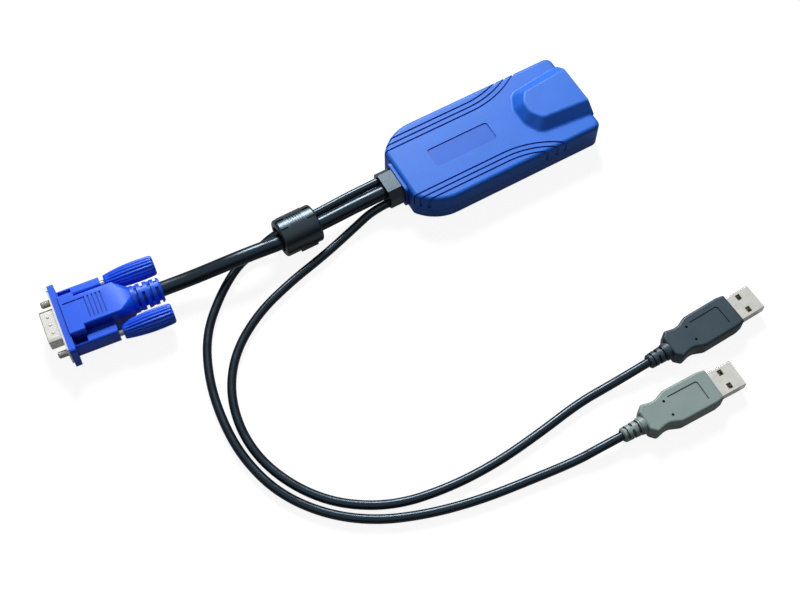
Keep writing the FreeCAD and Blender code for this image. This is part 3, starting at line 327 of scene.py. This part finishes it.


# in each look, the very dark colour and the reach beside it set the painted shade in grooves and
# corners
plastics = {
    "housing_blue": {
        "name": "housingBlue", "colour": (0.020, 0.165, 0.780), "roughness": 0.45,
        "grain": 3200, "depth": 0.00003, "mottle": 0.05,
        "specular": 0.36, "tint": (0.78, 0.90, 1.0),
        "deep": (0.001, 0.042, 0.440), "reach": 0.0042, "panel": namePanel,
    },
    "hood_blue": {
        "name": "hoodBlue", "colour": (0.004, 0.105, 1.0), "roughness": 0.38,
        "grain": 2600, "depth": 0.00002, "mottle": 0.03,
        "specular": 0.6, "tint": (0.62, 0.84, 1.0),
        "deep": (0.001, 0.020, 0.400), "reach": 0.0034,
    },
    "black_plastic": {
        "name": "blackPlastic", "colour": (0.007, 0.010, 0.013), "roughness": 0.31,
        "grain": 2600, "depth": 0.000015, "mottle": 0.15,
        "specular": 0.85, "tint": (0.62, 0.83, 1.0),
    },
    "charcoal_plastic": {
        "name": "charcoalPlastic", "colour": (0.032, 0.056, 0.078), "roughness": 0.44,
        "grain": 2600, "depth": 0.00003, "mottle": 0.14, "tint": (0.8, 0.92, 1.0),
    },
    "grey_plastic": {
        "name": "greyPlastic", "colour": (0.280, 0.372, 0.364), "roughness": 0.46,
        "grain": 2600, "depth": 0.00003, "mottle": 0.04,
    },
    "insulator_cream": {
        "name": "insulatorCream", "colour": (0.70, 0.71, 0.68), "roughness": 0.42,
        "grain": 3200, "depth": 0.00001, "mottle": 0.03,
    },
    "socket_black": {
        "name": "socketBlack", "colour": (0.018, 0.018, 0.020), "roughness": 0.45,
        "grain": 3200, "depth": 0.00002, "mottle": 0.1,
    },
    "chip_black": {
        "name": "chipBlack", "colour": (0.022, 0.022, 0.025), "roughness": 0.6,
        "grain": 5200, "depth": 0.00002, "mottle": 0.1,
    },
    "header_cream": {
        "name": "headerCream", "colour": (0.72, 0.70, 0.60), "roughness": 0.5,
        "grain": 3200, "depth": 0.00001, "mottle": 0.05,
    },
    "wire_mix": {
        "name": "wireInsulation", "colour": (0.50, 0.045, 0.035), "roughness": 0.36,
        "grain": 3200, "depth": 0.00001, "mottle": 0.08,
    },
}
metals = {
    "nickel": {"name": "nickelPlate", "colour": (0.79, 0.78, 0.73), "roughness": 0.22,
               "scratch": 0.000004},
    "can_metal": {"name": "canMetal", "colour": (0.74, 0.75, 0.77), "roughness": 0.24,
                  "scratch": 0.000004},
}
finishes = {slot: mouldedPlastic(**look) for slot, look in plastics.items()}
finishes.update({slot: platedMetal(**look) for slot, look in metals.items()})
finishes["cable_black"] = cableJacket(
    "cableJacket", colour=(0.004, 0.008, 0.014), roughness=0.25, tint=(0.58, 0.81, 1.0))
finishes["screw_steel"] = turnedSteel(
    "screwSteel", colour=(0.40, 0.395, 0.38), roughness=0.34, ringDepth=0.00001)
finishes["gold_contact"] = goldContact(
    "goldContact", worn=(0.72, 0.48, 0.16), bright=(0.95, 0.70, 0.30), roughness=(0.18, 0.34))
finishes["ferrite"] = sinteredFerrite(
    "ferrite", dark=(0.05, 0.05, 0.055), light=(0.12, 0.12, 0.125), roughness=0.72)
finishes["board_green"] = solderMask(
    "solderMask", mask=(0.010, 0.115, 0.040), maskAlso=(0.012, 0.135, 0.048),
    trace=(0.035, 0.23, 0.085), roughness=(0.28, 0.4))

for node, thing in frame["nodes"].items():
    material = finishes[slotOf[node]]
    if thing.data.materials:
        for slot in thing.material_slots:
            slot.material = material
    else:
        thing.data.materials.append(material)
print("materials made:", len(finishes))


# cables

cables = {
    "videoCable": {
        "replaces": "video_cable",
        "diameter": 0.0066,
        "length": 0.105,
        "stiffness": "stiff",
        "route": [(-0.0497, -0.0009, 0.0080), (-0.0627, -0.0009, 0.0080),
                  (-0.0802, -0.0017, 0.0084), (-0.1007, -0.0018, 0.0087),
                  (-0.1122, -0.0019, 0.0112), (-0.1257, -0.0009, 0.0112),
                  (-0.140419, 0.001738, 0.0080), (-0.154342, 0.003206, 0.0080)],
        "carries": ("video_plug", "thumbscrew", "jackscrew", "clip_", "ferrite_"),
    },
    "usbCableGrey": {
        "replaces": "usb_grey_cable",
        "diameter": 0.0038,
        "length": 0.331,
        "stiffness": "medium",
        "route": [(-0.0497, 0.0047, 0.0086), (-0.0627, 0.0047, 0.0086),
                  (-0.0807, 0.0037, 0.0085), (-0.1003, 0.00365, 0.0083),
                  (-0.1107, 0.0029, 0.0029), (-0.1207, 0.0009, 0.0020),
                  (-0.1335, -0.0082, 0.0020), (-0.1469, -0.0222, 0.0020),
                  (-0.1549, -0.0410, 0.0020), (-0.1584, -0.0610, 0.0020),
                  (-0.1582, -0.0798, 0.0020), (-0.1529, -0.0990, 0.0020),
                  (-0.1412, -0.1156, 0.0020), (-0.1252, -0.1280, 0.0020),
                  (-0.1055, -0.1360, 0.0020), (-0.0847, -0.1410, 0.0020),
                  (-0.0627, -0.1438, 0.0020), (-0.0437, -0.1459, 0.0020),
                  (-0.033295, -0.146539, 0.0042), (-0.022796, -0.146686, 0.0042)],
        "carries": ("usb_grey_",),
    },
    "usbCableBlack": {
        "replaces": "usb_black_cable",
        "diameter": 0.0038,
        "length": 0.327,
        "stiffness": "medium",
        "route": [(-0.0497, -0.0046, 0.0039), (-0.0572, -0.0046, 0.0039),
                  (-0.0682, -0.0074, 0.0021), (-0.0847, -0.0126, 0.0020),
                  (-0.1052, -0.0176, 0.0020), (-0.1232, -0.0240, 0.0020),
                  (-0.1394, -0.0350, 0.0020), (-0.1497, -0.0500, 0.0020),
                  (-0.1539, -0.0680, 0.0020), (-0.1522, -0.0855, 0.0020),
                  (-0.1445, -0.1026, 0.0020), (-0.1327, -0.1162, 0.0020),
                  (-0.1152, -0.1264, 0.0020), (-0.0942, -0.1304, 0.0020),
                  (-0.0727, -0.1310, 0.0020), (-0.0507, -0.1287, 0.0020),
                  (-0.0292, -0.1254, 0.0020), (-0.0142, -0.1251, 0.0020),
                  (-0.004649, -0.125434, 0.0042), (0.004842, -0.125019, 0.0042)],
        "carries": ("usb_black_",),
    },
}


def makeCable(name, settings, stepsAround=7, stepsAlong=16):
    data = bpy.data.curves.new(name, "CURVE")
    data.dimensions = "3D"
    data.bevel_depth = settings["diameter"] / 2
    data.bevel_resolution = stepsAround
    data.resolution_u = stepsAlong
    data.use_fill_caps = True
    spline = data.splines.new("NURBS")
    spline.points.add(len(settings["route"]) - 1)
    for point, place in zip(spline.points, settings["route"]):
        point.co = (*place, 1)
    spline.order_u = 3
    spline.use_endpoint_u = True
    cable = newObject(name, data)
    data.materials.append(finishes["cable_black"])
    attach(cable, "module")
    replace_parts(cable, settings["replaces"])
    return cable


made = {name: makeCable(name, settings) for name, settings in cables.items()}
print("cables laid:", len(made))


# smooth-shaded copies of the moulded, pressed and turned pieces

creaseAngles = {
    "housing_top": 24, "housing_bottom": 24, "cable_gland": 24,
    "clip_upper_case": 30, "clip_lower_case": 30,
    "video_plug_hood": 26, "video_plug_shell": 30,
    "video_plug_insulator": 30, "video_plug_pins": 35,
    "jackscrew_far": 30, "jackscrew_near": 30,
    "usb_black_body": 26, "usb_grey_body": 26,
    "usb_black_shell": 30, "usb_grey_shell": 30,
    "socket_contacts": 30, "capacitors": 30, "crystal": 30,
    "harness_wires": 35, "housing_screws": 30,
    "ferrite_core_upper": 30, "ferrite_core_lower": 30,
}
copied = {"mergeWithin": 2e-7, "flatWithin": 0.4, "normalWeight": 60}


def camel(node):
    first, *rest = node.split("_")
    return first + "".join(word.capitalize() for word in rest)


def markCreases(work, angle):
    # every face is smooth, and only open edges and folds past the angle stay sharp
    for face in work.faces:
        face.smooth = True
    for edge in work.edges:
        folded = edge.calc_face_angle(0) > math.radians(angle)
        edge.smooth = len(edge.link_faces) == 2 and not folded


def smoothCopy(node, creaseAngle):
    mesh = frame["nodes"][node].data.copy()
    mesh.name = camel(node)
    work = bmesh.new()
    work.from_mesh(mesh)
    bmesh.ops.remove_doubles(work, verts=work.verts, dist=copied["mergeWithin"])
    bmesh.ops.dissolve_limit(work, angle_limit=math.radians(copied["flatWithin"]),
                             verts=work.verts, edges=work.edges)
    markCreases(work, creaseAngle)
    work.to_mesh(mesh)
    work.free()
    piece = newObject(camel(node), mesh)
    weighted = piece.modifiers.new("weightedNormal", "WEIGHTED_NORMAL")
    weighted.keep_sharp = True
    weighted.weight = copied["normalWeight"]
    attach(piece, bodyOf[node])
    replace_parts(piece, node)
    return piece


for node, creaseAngle in creaseAngles.items():
    made[camel(node)] = smoothCopy(node, creaseAngle)
print("smooth copies made:", len(creaseAngles))


# geometry node trees, and the plain mesh that each one grows

def newTree(name, sizes):
    tree = bpy.data.node_groups.new(name, "GeometryNodeTree")
    tree.interface.new_socket("Geometry", in_out="OUTPUT", socket_type="NodeSocketGeometry")
    for label, value in sizes.items():
        kind = "NodeSocketInt" if isinstance(value, int) else "NodeSocketFloat"
        tree.interface.new_socket(label, in_out="INPUT", socket_type=kind)
    tree.interface.new_socket("Material", in_out="INPUT", socket_type="NodeSocketMaterial")
    return tree, addNode(tree, "NodeGroupInput").outputs


def finishTree(tree, given, geometry):
    realize = addNode(tree, "GeometryNodeRealizeInstances", {"Geometry": geometry})
    paint = addNode(tree, "GeometryNodeSetMaterial", {
        "Geometry": realize.outputs["Geometry"], "Material": given["Material"]})
    addNode(tree, "NodeGroupOutput", {"Geometry": paint.outputs["Geometry"]})


def growMesh(tree, name, sizes, material):
    holder = newObject(name, bpy.data.meshes.new(name))
    modifier = holder.modifiers.new("grow", "NODES")
    modifier.node_group = tree
    for item in tree.interface.items_tree:
        if item.item_type == "SOCKET" and item.in_out == "INPUT":
            value = material if item.name == "Material" else sizes[item.name]
            modifier[item.identifier] = value
    depsgraph = bpy.context.evaluated_depsgraph_get()
    grown = bpy.data.meshes.new_from_object(holder.evaluated_get(depsgraph))
    holder.modifiers.clear()
    empty = holder.data
    holder.data = grown
    grown.name = name
    bpy.data.meshes.remove(empty)
    return holder


def tidyMesh(mesh, creaseAngle=35, mergeWithin=1e-7):
    work = bmesh.new()
    work.from_mesh(mesh)
    bmesh.ops.remove_doubles(work, verts=work.verts, dist=mergeWithin)
    bmesh.ops.recalc_face_normals(work, faces=work.faces)
    markCreases(work, creaseAngle)
    work.to_mesh(mesh)
    work.free()


# what turns on each side of the video plug: a fluted grip, and the thread of its jackscrew

plugFrame = {
    "origin": (-0.1979, 0.0078, 0.0080),
    "angle": 173.98,
    "halfSpan": 0.0125,
    "sides": {"Far": -1, "Near": 1},
}
grip = {
    "start": -0.0228,        # along the plug's axis, from the hood's front face
    "sizes": {"Radius": 0.0047, "Length": 0.0218, "Flutes": 18, "Flute Depth": 0.00040,
              "Slot Width": 0.0009, "Slot Depth": 0.0009},
    "profile": [(0.0, 0.66), (0.014, 0.705), (0.14, 0.818), (0.32, 0.924), (0.5, 0.985),
                (0.65, 0.998), (0.83, 0.977), (0.965, 0.925), (1.0, 0.80)],
    "fade": [(0.0, 0.0), (0.05, 0.25), (0.16, 1.0), (0.88, 1.0), (0.96, 0.3), (1.0, 0.0)],
    "narrowing": 1.6,        # above 1, a flute is narrower than the land beside it
    "facesPerFlute": 10,
    "rings": 44,
}
thread = {
    "start": 0.0047,
    "sizes": {"Radius": 0.00136, "Pitch": 0.00064, "Turns": 5.2, "Ridge": 0.00016},
    "stepsPerTurn": 40,
    "ridgeSides": 6,
}


def plugMatrix(x, y):
    # local z of what is placed points from the plug's front to its rear
    turn = Matrix.Rotation(math.radians(plugFrame["angle"]), 4, "Z")
    lay = Matrix.Rotation(math.radians(-90), 4, "Y")
    return Matrix.Translation(plugFrame["origin"]) @ turn @ Matrix.Translation((x, y, 0)) @ lay


def curveNode(tree, factor, points):
    node = addNode(tree, "ShaderNodeFloatCurve", {"Value": factor})
    line = node.mapping.curves[0]
    while len(line.points) < len(points):
        line.points.new(0.5, 0.5)
    for point, place in zip(line.points, points):
        point.location = place
    node.mapping.update()
    return node.outputs[0]


def gripTree():
    tree, given = newTree("thumbscrewGrip", grip["sizes"])
    barrel = addNode(tree, "GeometryNodeMeshCylinder", {
        "Vertices": calc(tree, "MULTIPLY", given["Flutes"], grip["facesPerFlute"]),
        "Side Segments": grip["rings"], "Radius": given["Radius"], "Depth": given["Length"]})
    # the barrel's wall is moved to the profile, less the flutes
    position = addNode(tree, "GeometryNodeInputPosition")
    at = addNode(tree, "ShaderNodeSeparateXYZ", {"Vector": position.outputs[0]}).outputs
    along = calc(tree, "ADD", calc(tree, "DIVIDE", at["Z"], given["Length"]), 0.5)
    angle = calc(tree, "ARCTAN2", at["Y"], at["X"])
    wave = calc(tree, "COSINE", calc(tree, "MULTIPLY", angle, given["Flutes"]))
    flute = calc(tree, "POWER", calc(tree, "MULTIPLY_ADD", wave, 0.5, 0.5), grip["narrowing"])
    depth = calc(tree, "MULTIPLY", curveNode(tree, along, grip["fade"]), given["Flute Depth"])
    plain = calc(tree, "MULTIPLY", curveNode(tree, along, grip["profile"]), given["Radius"])
    radius = calc(tree, "SUBTRACT", plain, calc(tree, "MULTIPLY", flute, depth))
    halfLength = calc(tree, "MULTIPLY", given["Length"], 0.5)
    moved = addNode(tree, "ShaderNodeCombineXYZ", {
        "X": calc(tree, "MULTIPLY", calc(tree, "COSINE", angle), radius),
        "Y": calc(tree, "MULTIPLY", calc(tree, "SINE", angle), radius),
        "Z": calc(tree, "ADD", at["Z"], halfLength)})
    shape = addNode(tree, "GeometryNodeSetPosition", {
        "Geometry": barrel.outputs["Mesh"], "Position": moved.outputs[0]})
    # a screwdriver slot across the rear end
    size = addNode(tree, "ShaderNodeCombineXYZ", {
        "X": calc(tree, "MULTIPLY", given["Radius"], 3), "Y": given["Slot Width"],
        "Z": calc(tree, "MULTIPLY", given["Slot Depth"], 2)})
    rear = addNode(tree, "ShaderNodeCombineXYZ", {"Z": given["Length"]})
    blade = addNode(tree, "GeometryNodeMeshCube", {"Size": size.outputs[0]})
    shift = addNode(tree, "GeometryNodeTransform", {
        "Geometry": blade.outputs["Mesh"], "Translation": rear.outputs[0]})
    cut = addNode(tree, "GeometryNodeMeshBoolean", {
        "Mesh 1": shape.outputs["Geometry"], "Mesh 2": shift.outputs["Geometry"]},
        operation="DIFFERENCE", solver="EXACT")
    finishTree(tree, given, cut.outputs["Mesh"])
    return tree


def threadTree():
    tree, given = newTree("jackscrewThread", thread["sizes"])
    spiral = addNode(tree, "GeometryNodeCurveSpiral", {
        "Resolution": thread["stepsPerTurn"], "Rotations": given["Turns"],
        "Start Radius": given["Radius"], "End Radius": given["Radius"],
        "Height": calc(tree, "MULTIPLY", given["Pitch"], given["Turns"])})
    ridge = addNode(tree, "GeometryNodeCurvePrimitiveCircle", {
        "Resolution": thread["ridgeSides"], "Radius": given["Ridge"]})
    sweep = addNode(tree, "GeometryNodeCurveToMesh", {
        "Curve": spiral.outputs["Curve"], "Profile Curve": ridge.outputs["Curve"],
        "Fill Caps": True})
    finishTree(tree, given, sweep.outputs["Mesh"])
    return tree


def growPair(name, tree, settings, slot, standsFor=None):
    for side, sign in plugFrame["sides"].items():
        piece = growMesh(tree, name + side, settings["sizes"], finishes[slot])
        piece.data.transform(plugMatrix(settings["start"], sign * plugFrame["halfSpan"]))
        tidyMesh(piece.data)
        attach(piece, "thumbscrew_" + side.lower())
        if standsFor:
            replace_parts(piece, standsFor + side.lower())
        made[name + side] = piece


growPair("thumbscrewGrip", gripTree(), grip, "hood_blue", "thumbscrew_knob_")
print("thumbscrew grips grown")
growPair("jackscrewThread", threadTree(), thread, "screw_steel")
print("jackscrew threads grown")


# the pieces that each cable carries, gathered once everything on the cables exists; nothing uses
# the lists

def piecesOn(name, settings):
    carries = settings["carries"]
    pieces = [thing for node, thing in frame["nodes"].items()
              if node.startswith(carries) and not thing.hide_render]
    pieces += [piece for piece in made.values() for node in piece.get("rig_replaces", [])
               if node.startswith(carries) and node != settings["replaces"]]
    if name == "videoCable":
        pieces += [made["jackscrewThreadFar"], made["jackscrewThreadNear"]]
    return pieces


for name, settings in cables.items():
    piecesOn(name, settings)


# floor and light

studio = {
    "floorHalf": 1.6, "floorDrop": 0.0001, "floorTone": 0.20,
    "floorGlow": 0.90, "fadeFrom": 0.4, "fadeTo": 0.9,
    "floorMirror": 0.18,                        # what gloss sees of the floor
    "sky": 0.25,                                # share of the sky that lights dull surfaces
    "horizon": 0.05, "ceiling": 0.80, "sweepFrom": 0.30, "sweepTo": 0.85,
    "skyTint": (0.97, 0.985, 1.0),
}
lamps = {
    "keyLamp": {"at": (0.24, 0.82, 0.78), "aim": (-0.06, -0.05, 0), "size": 0.38, "watts": 16.0},
    "fillLamp": {"at": (-0.85, -0.35, 0.90), "aim": (-0.06, -0.05, 0), "size": 0.7, "watts": 0.25},
}


def litSurface(name):
    material = bpy.data.materials.new(name)
    material.use_nodes = True
    tree = material.node_tree
    tree.nodes.clear()
    rays = addNode(tree, "ShaderNodeLightPath").outputs
    # the floor turns fully white away from the module, so no edge shows against the backdrop
    place = addNode(tree, "ShaderNodeTexCoord").outputs["Object"]
    away = addNode(tree, "ShaderNodeVectorMath", {0: place}, operation="LENGTH")
    fade = addNode(tree, "ShaderNodeMapRange", {
        "Value": away.outputs["Value"], "From Min": studio["fadeFrom"],
        "From Max": studio["fadeTo"], "To Min": studio["floorGlow"]})
    mirrored = calc(tree, "MULTIPLY", rays["Is Glossy Ray"], studio["floorMirror"])
    strength = calc(tree, "MULTIPLY_ADD", rays["Is Camera Ray"], fade.outputs["Result"], mirrored)
    paint = addNode(tree, "ShaderNodeBsdfDiffuse", {"Color": opaque((studio["floorTone"],) * 3)})
    glow = addNode(tree, "ShaderNodeEmission", {"Strength": strength})
    both = addNode(tree, "ShaderNodeAddShader", {0: paint.outputs[0], 1: glow.outputs[0]})
    addNode(tree, "ShaderNodeOutputMaterial", {"Surface": both.outputs[0]})
    return material


def makeFloor():
    mesh = bpy.data.meshes.new("floor")
    h = studio["floorHalf"]
    mesh.from_pydata([(-h, -h, 0), (h, -h, 0), (h, h, 0), (-h, h, 0)], [], [(0, 1, 2, 3)])
    mesh.materials.append(litSurface("paleFloor"))
    floor = newObject("floor", mesh)
    floor.location.z = -studio["floorDrop"]


def makeSky():
    world = bpy.data.worlds.new("studio")
    scene.world = world
    world.use_nodes = True
    tree = world.node_tree
    tree.nodes.clear()
    # a bright ceiling over a dim horizon, which gives metal edges an outline
    direction = addNode(tree, "ShaderNodeTexCoord").outputs["Generated"]
    height = addNode(tree, "ShaderNodeSeparateXYZ", {"Vector": direction}).outputs["Z"]
    sweep = addNode(tree, "ShaderNodeMapRange", {
        "Value": height, "From Min": studio["sweepFrom"], "From Max": studio["sweepTo"],
        "To Min": studio["horizon"], "To Max": studio["ceiling"]})
    rays = addNode(tree, "ShaderNodeLightPath").outputs
    share = addNode(tree, "ShaderNodeMapRange", {
        "Value": rays["Is Glossy Ray"], "To Min": studio["sky"], "To Max": 1.0})
    level = calc(tree, "MULTIPLY", sweep.outputs["Result"], share.outputs["Result"])
    soft = addNode(tree, "ShaderNodeBackground", {
        "Color": opaque(studio["skyTint"]), "Strength": level})
    white = addNode(tree, "ShaderNodeBackground", {"Color": (1, 1, 1, 1), "Strength": 1.0})
    mix = addNode(tree, "ShaderNodeMixShader", {
        0: rays["Is Camera Ray"], 1: soft.outputs[0], 2: white.outputs[0]})
    addNode(tree, "ShaderNodeOutputWorld", {"Surface": mix.outputs[0]})


def makeLamp(name, settings):
    data = bpy.data.lights.new(name, "AREA")
    data.shape = "SQUARE"
    data.size = settings["size"]
    data.energy = settings["watts"]
    lamp = newObject(name, data)
    lamp.location = settings["at"]
    aim(lamp, Vector(settings["aim"]) - Vector(settings["at"]))


makeFloor()
makeSky()
for name, settings in lamps.items():
    makeLamp(name, settings)
scene.view_settings.view_transform = "Standard"
print("stage lit")
